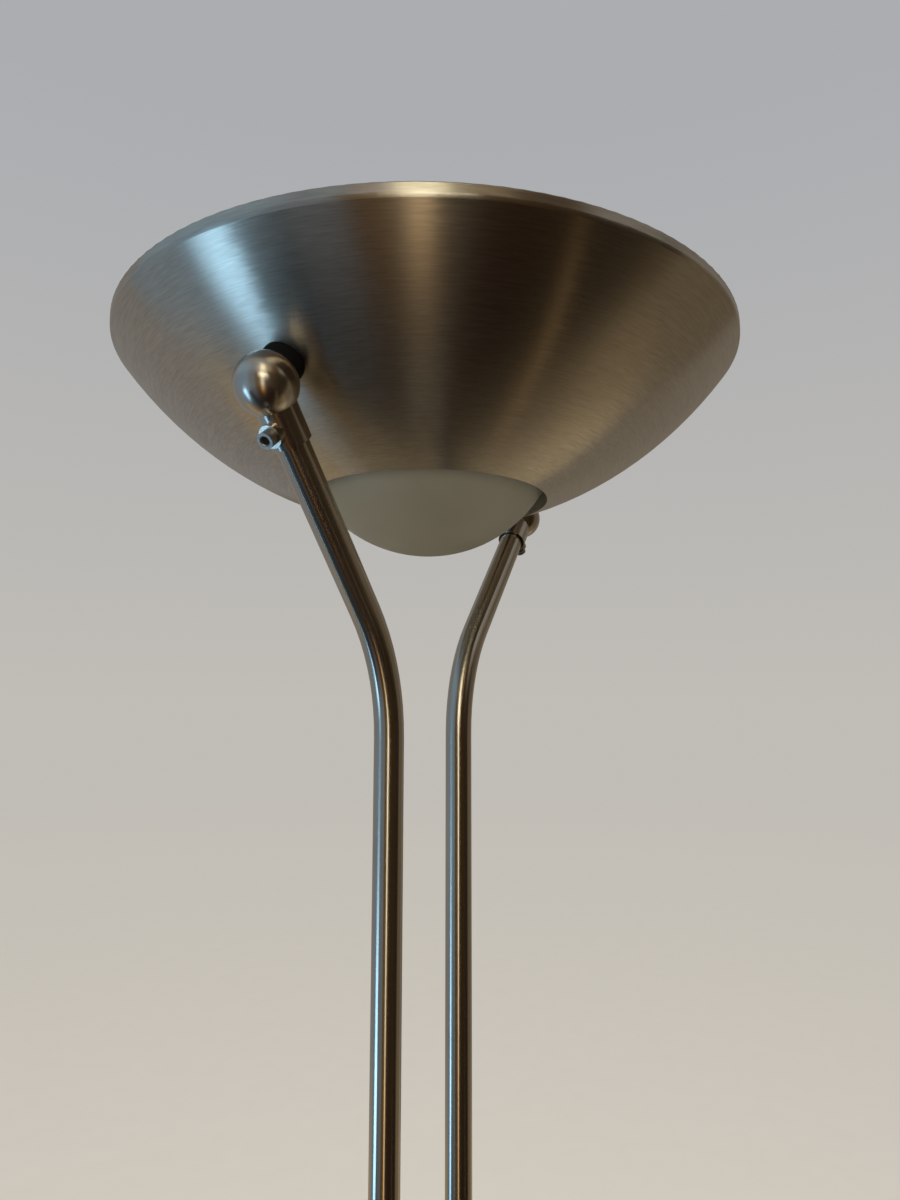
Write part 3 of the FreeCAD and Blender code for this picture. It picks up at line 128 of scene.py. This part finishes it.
class Look(Nodes):
    """A material with Blender's principled shader."""

    def __init__(self, name, color, roughness, metallic=0.0, **fixed):
        self.material = bpy.data.materials.new(name)
        super().__init__(self.material)
        self.shader = self.tree.nodes["Principled BSDF"]
        self.set("Base Color", (*color, 1.0))
        self.set("Roughness", roughness)
        self.set("Metallic", metallic)
        for socket, value in fixed.items():
            self.set(socket.replace("_", " "), value)

    def set(self, socket, value):
        self.shader.inputs[socket].default_value = value

    def link(self, output, socket):
        self.tree.links.new(output, self.shader.inputs[socket])

    def vary_color(self, value, color, tint, span=(0.35, 0.65)):
        """The base colour goes from color to tint while the value goes through the span."""
        self.link(self.blend(self.remap(value, 0.0, 1.0, span), color, tint), "Base Color")

    def vary_roughness(self, value, low, high, span=(0.3, 0.7)):
        self.link(self.remap(value, low, high, span), "Roughness")

    def raise_grain(self, height, strength, depth):
        inputs = {"Height": height, "Strength": strength, "Distance": depth}
        self.link(self.node("ShaderNodeBump", inputs).outputs[0], "Normal")


# ---------------------------------------------------------------- finishes
# Cycles guides its denoiser in one way below a roughness of 0.274 and in another above it, and marks
# show on a surface that crosses it. So each finish keeps to one side of it.

# The poles' bend, as in the CAD: the lean above it, the radius of its middle line and where it starts
LEAN = math.radians(41.4)
BEND_R = 0.077
BEND_START_Z = 1.6278
# Marks of the brushing: how many there are in a radian round the axis, and in a metre across
FINE_MARKS = (16.0, 1300.0)
MEDIUM_MARKS = (3.5, 560.0)
COARSE_MARKS = (2.0, 60.0)
# How far the marks tilt the surface along themselves, as a slope
FINE_TILT = 0.007
MEDIUM_TILT = 0.004
TILT_SPAN = (0.2, 0.8)


def ring_noise(look, marks, slope):
    """Noise drawn out round the Z axis. slope is how much a step in height counts as one in radius."""
    around, across = marks
    x, y, z = look.parts(look.place())
    flat = look.joined(x, y, 0.0)
    radius = look.vector("LENGTH", flat)
    turned = look.vector("SCALE", look.vector("NORMALIZE", flat), scale=around)
    turned_x, turned_y, _ = look.parts(turned)
    width = look.math("ADD", radius, look.math("MULTIPLY", z, slope))
    place = look.joined(turned_x, turned_y, look.math("MULTIPLY", width, across))
    return look.noise(scale=1.0, detail=1.0, place=place)


def brushed_round(name, color, tint, roughness, slope):
    """Steel brushed on a lathe: fine rings that draw each highlight out across them."""
    look = Look(name, color, roughness, metallic=1.0, Anisotropic=0.92, Anisotropic_Rotation=0.25)
    fine = ring_noise(look, FINE_MARKS, slope)
    medium = ring_noise(look, MEDIUM_MARKS, slope)
    coarse = ring_noise(look, COARSE_MARKS, slope)
    cloud = look.noise(scale=14.0, detail=3.0)
    tone = look.weighted((fine, 0.65), (medium, 0.28), (coarse, 0.07))
    look.vary_color(tone, color, tint, span=(0.22, 0.78))
    worn = look.weighted((medium, 0.6), (cloud, 0.4))
    look.vary_roughness(worn, roughness, roughness + 0.02, span=(0.25, 0.75))
    rings = look.node("ShaderNodeTangent", direction_type="RADIAL", axis="Z").outputs[0]
    look.link(rings, "Tangent")
    fine_tilt = look.remap(fine, -FINE_TILT, FINE_TILT, TILT_SPAN)
    medium_tilt = look.remap(medium, -MEDIUM_TILT, MEDIUM_TILT, TILT_SPAN)
    shift = look.vector("SCALE", rings, scale=look.math("ADD", fine_tilt, medium_tilt))
    normal = look.node("ShaderNodeNewGeometry").outputs["Normal"]
    look.link(look.vector("NORMALIZE", look.vector("ADD", normal, shift)), "Normal")
    return look.material


def pole_axis(look):
    """Direction of the pole at a point: upright below the bend, then leaning outwards."""
    x, _, z = look.parts(look.place())
    climb = look.math("DIVIDE", look.math("SUBTRACT", z, BEND_START_Z), BEND_R)
    climb = look.node("ShaderNodeClamp", {0: climb, 1: 0.0, 2: math.sin(LEAN)}).outputs[0]
    outwards = look.math("MULTIPLY", climb, look.math("SIGN", x))
    upwards = look.math("SQRT", look.math("SUBTRACT", 1.0, look.math("MULTIPLY", climb, climb)))
    return look.joined(outwards, 0.0, upwards)


def knuckle_axis(look):
    """Direction of the poles above their bend, which the knuckles continue."""
    x, _, _ = look.parts(look.place())
    outwards = look.math("MULTIPLY", look.math("SIGN", x), math.sin(LEAN))
    return look.joined(outwards, 0.0, math.cos(LEAN))


def satin_metal(name, color, tint, roughness, stretch, axis):
    """Satin nickel finish, ground round an axis, so that highlights run along the axis."""
    look = Look(name, color, roughness, metallic=1.0, Anisotropic=stretch)
    speck = look.noise(scale=1500.0, detail=2.0)
    cloud = look.noise(scale=22.0, detail=4.0, rough=0.6)
    look.vary_color(cloud, color, tint)
    worn = look.weighted((speck, 0.3), (cloud, 0.7))
    look.vary_roughness(worn, roughness - 0.02, roughness + 0.03)
    look.link(axis(look), "Tangent")
    look.raise_grain(speck, strength=0.02, depth=0.00002)
    return look.material


def even_satin(name, color, tint, roughness, grain):
    """Turned, plated or drawn metal: an even satin with faint blotches."""
    look = Look(name, color, roughness, metallic=1.0)
    cloud = look.noise(scale=90.0, detail=4.0, rough=0.6)
    speck = look.noise(scale=grain, detail=3.0, rough=0.6)
    look.vary_color(cloud, color, tint)
    look.vary_roughness(speck, roughness - 0.05, roughness + 0.07)
    look.raise_grain(speck, strength=0.05, depth=0.00003)
    return look.material


def opal_glass(name, color, tint, roughness):
    """Glass frosted outside and opal through its thickness."""
    look = Look(name, color, roughness, Transmission_Weight=0.5, IOR=1.5)
    cloud = look.noise(scale=30.0, detail=4.0, rough=0.55)
    speck = look.noise(scale=2600.0, detail=2.0)
    look.vary_color(cloud, color, tint, span=(0.3, 0.7))
    look.vary_roughness(speck, roughness - 0.07, roughness + 0.07)
    look.raise_grain(speck, strength=0.2, depth=0.00003)
    return look.material


def clear_glass(name, color, roughness):
    """Polished glass with faint smears."""
    look = Look(name, color, roughness, Transmission_Weight=1.0, IOR=1.46)
    smear = look.noise(scale=60.0, detail=4.0, rough=0.6)
    look.vary_roughness(smear, roughness, roughness + 0.05, span=(0.45, 0.75))
    look.raise_grain(smear, strength=0.03, depth=0.0002)
    return look.material


def moulded(name, color, tint, roughness, grain, depth, metallic=0.0, **fixed):
    """Plastic, rubber, ceramic, foam or rough iron: a colour that drifts, and a fine surface grain."""
    look = Look(name, color, roughness, metallic, **fixed)
    cloud = look.noise(scale=45.0, detail=4.0, rough=0.6)
    speck = look.noise(scale=grain, detail=4.0, rough=0.6)
    look.vary_color(cloud, color, tint)
    look.vary_roughness(speck, roughness - 0.06, roughness + 0.08)
    look.raise_grain(speck, strength=0.3, depth=depth)
    return look.material


BRUSHED_PALE = (0.62, 0.575, 0.51)
BRUSHED_DARK = (0.42, 0.385, 0.33)
NICKEL_PALE = (0.57, 0.53, 0.47)
NICKEL_DARK = (0.51, 0.47, 0.41)
MATERIALS = {
    "brushed_steel_bowl": brushed_round("brushed_bowl", BRUSHED_PALE, BRUSHED_DARK,
                                        roughness=0.277, slope=1.0),
    "brushed_cover": brushed_round("brushed_cover", BRUSHED_PALE, BRUSHED_DARK,
                                   roughness=0.277, slope=-1.0),
    "satin_steel": satin_metal("satin_tube", NICKEL_PALE, NICKEL_DARK,
                               roughness=0.20, stretch=0.95, axis=pole_axis),
    "satin_knuckle": satin_metal("satin_knuckle", NICKEL_PALE, NICKEL_DARK,
                                 roughness=0.24, stretch=0.5, axis=knuckle_axis),
    "black_rubber": moulded("black_rubber", (0.003, 0.003, 0.003), (0.005, 0.005, 0.005),
                            roughness=0.7, grain=900.0, depth=0.00005, Specular_IOR_Level=0.15),
    "seal_rubber": moulded("seal_rubber", (0.24, 0.22, 0.17), (0.20, 0.185, 0.14),
                           roughness=0.5, grain=900.0, depth=0.00005),
    # The opal glass's greenish beige is darker than opal glass is: partly its own colour, partly painted
    # shade standing in for the shade under the bowl.
    "opal_glass": opal_glass("opal_glass", (0.325, 0.295, 0.21), (0.365, 0.335, 0.25), roughness=0.49),
    "clear_glass": clear_glass("cover_glass", (0.93, 0.97, 0.95), roughness=0.02),
    "quartz": clear_glass("quartz", (0.97, 0.97, 0.98), roughness=0.02),
    "ceramic_white": moulded("ceramic", (0.80, 0.77, 0.70), (0.72, 0.69, 0.62),
                             roughness=0.45, grain=700.0, depth=0.00006),
    "screw_steel": even_satin("screw_steel", (0.50, 0.49, 0.47), (0.42, 0.41, 0.39),
                              roughness=0.42, grain=900.0),
    "zinc_steel": even_satin("zinc_plate", (0.62, 0.61, 0.58), (0.54, 0.53, 0.52),
                             roughness=0.34, grain=700.0),
    "brass_nickel": even_satin("turned_brass", (0.68, 0.55, 0.30), (0.60, 0.47, 0.25),
                               roughness=0.34, grain=700.0),
    "cast_iron_weight": moulded("cast_iron", (0.09, 0.09, 0.09), (0.13, 0.12, 0.11),
                                roughness=0.6, grain=350.0, depth=0.0003, metallic=0.8),
    "black_pad": moulded("foam_pad", (0.035, 0.035, 0.038), (0.055, 0.055, 0.058),
                         roughness=0.9, grain=900.0, depth=0.0002),
    "black_plastic": moulded("black_plastic", (0.022, 0.022, 0.024), (0.030, 0.030, 0.032),
                             roughness=0.42, grain=1100.0, depth=0.00008),
    "knob_plastic": moulded("knob_plastic", (0.16, 0.16, 0.165), (0.20, 0.20, 0.20),
                            roughness=0.34, grain=1100.0, depth=0.00005, metallic=0.6),
    "board_laminate": moulded("board_laminate", (0.36, 0.26, 0.11), (0.30, 0.21, 0.09),
                              roughness=0.5, grain=500.0, depth=0.0001),
    "component_plastic": moulded("component_plastic", (0.03, 0.03, 0.033), (0.045, 0.045, 0.05),
                                 roughness=0.35, grain=700.0, depth=0.00005),
    "copper_winding": even_satin("copper_winding", (0.60, 0.26, 0.12), (0.50, 0.20, 0.09),
                                 roughness=0.34, grain=500.0),
    "capacitor_red": moulded("capacitor", (0.42, 0.08, 0.05), (0.34, 0.06, 0.04),
                             roughness=0.34, grain=400.0, depth=0.00006),
    "lead_sleeve": moulded("silicone_sleeve", (0.74, 0.72, 0.66), (0.66, 0.64, 0.58),
                           roughness=0.55, grain=800.0, depth=0.00005),
    "mains_sleeve": moulded("mains_sleeve", (0.04, 0.04, 0.04), (0.055, 0.055, 0.055),
                            roughness=0.45, grain=800.0, depth=0.00005),
    "tungsten": even_satin("tungsten", (0.36, 0.36, 0.37), (0.28, 0.28, 0.29),
                           roughness=0.35, grain=700.0),
}
OWN_FINISH = {
    "base_cover": "brushed_cover",
    "diffuser_seal": "seal_rubber",
    "grub_screws": "screw_steel",
    "knuckle_left": "satin_knuckle",
    "knuckle_right": "satin_knuckle",
}


def dress_nodes():
    """Every CAD node takes its finish from its slot, unless it has one of its own."""
    slots = {part["node"]: part["material_slot"] for part in frame["record"]["subparts"]}
    for name, piece in frame["nodes"].items():
        piece.data.materials.clear()
        piece.data.materials.append(MATERIALS[OWN_FINISH.get(name, slots[name])])


# ---------------------------------------------------------------- surroundings and floor
HORIZON = (1.0, 0.96, 0.89)
OVERHEAD = (0.77, 0.79, 0.83)
OVERHEAD_FROM = 0.6                 # sine of the elevation at which the overhead colour is reached
VIEW_LEVEL = 0.53                   # strength of the surroundings in view, in gloss and through glass
MATT_LEVEL = 0.66                   # and their strength on matt surfaces
FLOOR_DARK = (0.76, 0.72, 0.65)
FLOOR_PALE = (0.80, 0.76, 0.69)
FLOOR_GLOW_COLOR = (1.0, 0.85, 0.60)
FLOOR_GLOW = 0.16
FLOOR_ROUGHNESS = 0.8
FLOOR_GRAIN = 9.0
FLOOR_R = 30.0
FLOOR_STEPS = 96
FADE_SPAN = (2.5, 14.0)             # radii between which the floor fades into the surroundings


def on_circle(radius, degrees, z):
    turn = math.radians(degrees)
    return (radius * math.cos(turn), radius * math.sin(turn), z)


def stage_mesh(name, verts, faces, material):
    mesh = bpy.data.meshes.new(name)
    mesh.from_pydata(verts, [], faces)
    made = bpy.data.objects.new(name, mesh)
    made.data.materials.append(material)
    bpy.context.scene.collection.objects.link(made)
    return made


def make_world():
    """Pale surroundings, cooler overhead, a little brighter on matt surfaces than in view."""
    world = bpy.data.worlds.new("studio")
    nodes = Nodes(world)
    ramp = nodes.node("ShaderNodeValToRGB", {0: nodes.parts(nodes.place("Generated"))["Z"]})
    low, high = ramp.color_ramp.elements
    low.color = (*HORIZON, 1.0)
    high.color = (*OVERHEAD, 1.0)
    high.position = OVERHEAD_FROM
    on_matt = nodes.node("ShaderNodeLightPath").outputs["Is Diffuse Ray"]
    level = nodes.remap(on_matt, VIEW_LEVEL, MATT_LEVEL)
    background = nodes.tree.nodes["Background"]
    nodes.tree.links.new(ramp.outputs["Color"], background.inputs["Color"])
    nodes.tree.links.new(level, background.inputs["Strength"])
    bpy.context.scene.world = world


def make_floor():
    """A plain pale floor, with a faint warm glow where it is seen directly, in gloss or through glass."""
    look = Look("floor", FLOOR_PALE, FLOOR_ROUGHNESS)
    grain = look.noise(scale=FLOOR_GRAIN, detail=4.0)
    look.link(look.blend(grain, FLOOR_DARK, FLOOR_PALE), "Base Color")
    path = look.node("ShaderNodeLightPath").outputs
    seen = look.math("ADD", path["Is Camera Ray"], path["Is Glossy Ray"])
    seen = look.math("MINIMUM", look.math("ADD", seen, path["Is Transmission Ray"]), 1.0)
    look.set("Emission Color", (*FLOOR_GLOW_COLOR, 1.0))
    look.link(look.math("MULTIPLY", seen, FLOOR_GLOW), "Emission Strength")
    # Far out the floor fades into the surroundings, so that no horizon shows
    reach = look.vector("LENGTH", look.place())
    far = look.math("MULTIPLY", look.remap(reach, 0.0, 1.0, FADE_SPAN), seen)
    glow = look.node("ShaderNodeEmission", {"Color": (*HORIZON, 1.0), "Strength": VIEW_LEVEL})
    inputs = {0: far, 1: look.shader.outputs[0], 2: glow.outputs[0]}
    mixed = look.node("ShaderNodeMixShader", inputs).outputs[0]
    look.tree.links.new(mixed, look.tree.nodes["Material Output"].inputs["Surface"])
    verts = [on_circle(FLOOR_R, 360 * k / FLOOR_STEPS, 0.0) for k in range(FLOOR_STEPS)]
    stage_mesh("floor", verts, [tuple(range(FLOOR_STEPS))], look.material)


# ---------------------------------------------------------------- cards that only gloss shows
ROOM_R = 3.0
ROOM_TOP = 3.0
CEILING_Z = 4.8
CEILING_HOLE_R = 0.02
CARD_Z = 0.004                      # cards on the floor lie just above it
PATCH_Z = 0.008                     # and the patches just above them
BASE_MARGIN = 0.021                 # plain floor that shows in metal round the base
BASE_CLEAR_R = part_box("base_cover")[1][0] + BASE_MARGIN
CARD_STEPS = 24
NEAR_SPAN = (0.6, 2.0)              # radii between which a floor card changes from near to far colour
# Round the lamp: start and end azimuth in degrees, then the colours of the wall, of the floor by the
# wall and of the floor near the lamp
SECTORS = (
    ("haze", 100, 126, (0.22, 0.29, 0.36), (0.15, 0.22, 0.29), (0.020, 0.020, 0.020)),
    ("sky", 126, 146, (0.22, 0.31, 0.42), (0.05, 0.09, 0.12), (0.010, 0.011, 0.012)),
    ("shade", 146, 160, (0.24, 0.33, 0.42), (0.006, 0.006, 0.009), (0.010, 0.010, 0.010)),
    ("slate", 160, 182, (0.20, 0.23, 0.26), (0.11, 0.115, 0.13), (0.015, 0.012, 0.010)),
    ("umber", 182, 214, (0.15, 0.09, 0.03), (0.08, 0.03, 0.004), (0.010, 0.006, 0.003)),
    ("dark", 214, 256, (0.040, 0.022, 0.006), (0.007, 0.0, 0.0), (0.010, 0.001, 0.0)),
    ("moss", 256, 294, (0.022, 0.012, 0.004), (0.006, 0.003, 0.001), (0.008, 0.004, 0.001)),
    ("tan", 294, 332, (0.15, 0.115, 0.075), (0.22, 0.165, 0.095), (0.030, 0.015, 0.006)),
    ("back", 332, 405, (0.22, 0.19, 0.15), (0.46, 0.37, 0.24), (0.012, 0.008, 0.005)),
    ("left", 405, 460, (0.27, 0.26, 0.25), (0.41, 0.31, 0.18), (0.020, 0.016, 0.012)),
)
# A bright card just in front of the walls: azimuths and colour, then its radius and top
DAYLIGHT_WALL = ("daylight_wall", 127, 141, (1.7, 3.0, 4.2))
DAYLIGHT_R = ROOM_R - 0.04
DAYLIGHT_TOP = 0.7
# Above the walls, and overhead: azimuths and colour
UPPER = (
    ("upper_window", 100, 160, (0.30, 0.42, 0.52)),
    ("upper_left", 160, 184, (0.28, 0.34, 0.40)),
    ("upper_pale", 184, 198, (0.52, 0.47, 0.44)),
    ("upper_glow", 198, 215, (2.3, 2.1, 1.45)),
    ("upper_warm", 215, 236, (0.45, 0.33, 0.18)),
    ("upper_dark", 236, 262, (0.10, 0.05, 0.02)),
    ("upper_right", 262, 290, (0.40, 0.37, 0.32)),
    ("upper_far", 290, 332, (0.28, 0.26, 0.23)),
    ("upper_back", 332, 460, (0.26, 0.25, 0.23)),
)
ROOF = (
    ("roof_left", 60, 235, (0.34, 0.34, 0.33)),
    ("roof_right", 235, 420, (0.26, 0.25, 0.23)),
)
# Bright patches on the floor: colour, then corners in metres
PATCHES = (
    ("daylight", (1.2, 2.1, 3.0), ((-2.22, 1.82), (-1.10, 1.34), (-0.85, 1.53), (-1.75, 2.31))),
    ("gleam", (0.35, 0.22, 0.10), ((-0.48, -2.7), (0.84, -0.24), (0.78, -0.2), (-0.56, -2.66))),
)


def card_look(name, color):
    """Black, but for the light that it gives."""
    return Look(name, (0.0, 0.0, 0.0), 1.0, Emission_Color=(*color, 1.0), Emission_Strength=1.0)


def hide_card(card):
    """Leaves the card to glossy rays only."""
    card.visible_camera = False
    card.visible_diffuse = False
    card.visible_transmission = False
    card.visible_shadow = False


def make_card(name, start, end, color, low, high, near_color=None):
    """A curved card between two rings, each a radius and a height."""
    look = card_look(name, color)
    if near_color:
        reach = look.vector("LENGTH", look.place())
        away = look.remap(reach, 0.0, 1.0, NEAR_SPAN)
        look.link(look.blend(away, near_color, color), "Emission Color")
    turns = [start + (end - start) * k / CARD_STEPS for k in range(CARD_STEPS + 1)]
    verts = [on_circle(radius, turn, z) for radius, z in (low, high) for turn in turns]
    row = len(turns)
    faces = [(k, k + 1, row + k + 1, row + k) for k in range(CARD_STEPS)]
    hide_card(stage_mesh(name, verts, faces, look.material))


def make_patch(name, color, corners):
    verts = [(x, y, PATCH_Z) for x, y in corners]
    hide_card(stage_mesh(name, verts, [(0, 1, 2, 3)], card_look(name, color).material))


def make_cards():
    """Walls, floor, upper walls and ceiling of the room that gloss shows."""
    for name, start, end, wall, far, near in SECTORS:
        make_card(name + "_wall", start, end, wall, (ROOM_R, 0.0), (ROOM_R, ROOM_TOP))
        make_card(name + "_floor", start, end, far, (BASE_CLEAR_R, CARD_Z), (ROOM_R, CARD_Z), near)
    make_card(*DAYLIGHT_WALL, (DAYLIGHT_R, 0.0), (DAYLIGHT_R, DAYLIGHT_TOP))
    for patch in PATCHES:
        make_patch(*patch)
    for card in UPPER:
        make_card(*card, (ROOM_R, ROOM_TOP), (ROOM_R, CEILING_Z))
    for card in ROOF:
        make_card(*card, (ROOM_R, CEILING_Z), (CEILING_HOLE_R, CEILING_Z))


# ---------------------------------------------------------------- lights
# Azimuth in degrees, distance from the axis, height, width and length of the soft box, radiance,
# colour, and the height on the axis that it faces
GLOSS_LIGHTS = (
    ("strip_high", 206.0, 1.80, 1.62, 0.26, 1.45, 1.4, (1.0, 0.97, 0.78), 1.62),
    ("strip_low", 206.0, 1.80, 0.475, 0.26, 0.85, 0.9, (1.0, 0.56, 0.18), 0.475),
    ("warm_lamp", 208.0, 1.75, 2.05, 0.80, 0.16, 5.0, (1.0, 0.93, 0.72), 1.75),
)
MATT_LIGHTS = (
    ("window", 133.0, 2.2, 1.70, 0.9, 1.4, 4.0, (0.80, 0.90, 1.0), 1.70),
    ("front", 206.0, 2.2, 1.70, 0.9, 1.4, 2.5, (1.0, 0.93, 0.82), 1.70),
    ("overhead", 300.0, 0.5, 3.2, 1.4, 1.4, 2.2, (1.0, 0.97, 0.93), 1.4),
    ("back", 35.0, 2.3, 1.70, 0.6, 1.4, 2.0, (1.0, 0.96, 0.90), 1.5),
)


def make_light(name, degrees, distance, z, width, length, radiance, color, aim_z, in_gloss):
    """A soft box that either shines back in gloss or lights matt surfaces, never both."""
    data = bpy.data.lights.new(name, "AREA")
    data.shape = "RECTANGLE"
    data.size = width
    data.size_y = length
    data.energy = radiance * math.pi * width * length
    data.color = color
    lamp = bpy.data.objects.new(name, data)
    lamp.location = on_circle(distance, degrees, z)
    lamp.rotation_mode = "QUATERNION"
    lamp.rotation_quaternion = (UP * aim_z - lamp.location).to_track_quat("-Z", "Y")
    lamp.visible_camera = False
    lamp.visible_glossy = in_gloss
    lamp.visible_diffuse = not in_gloss
    bpy.context.scene.collection.objects.link(lamp)


def make_lights():
    for light in GLOSS_LIGHTS:
        make_light(*light, in_gloss=True)
    for light in MATT_LIGHTS:
        make_light(*light, in_gloss=False)


make_camera()
dress_nodes()
make_world()
make_floor()
make_cards()
make_lights()
bpy.context.scene.view_settings.view_transform = "Standard"
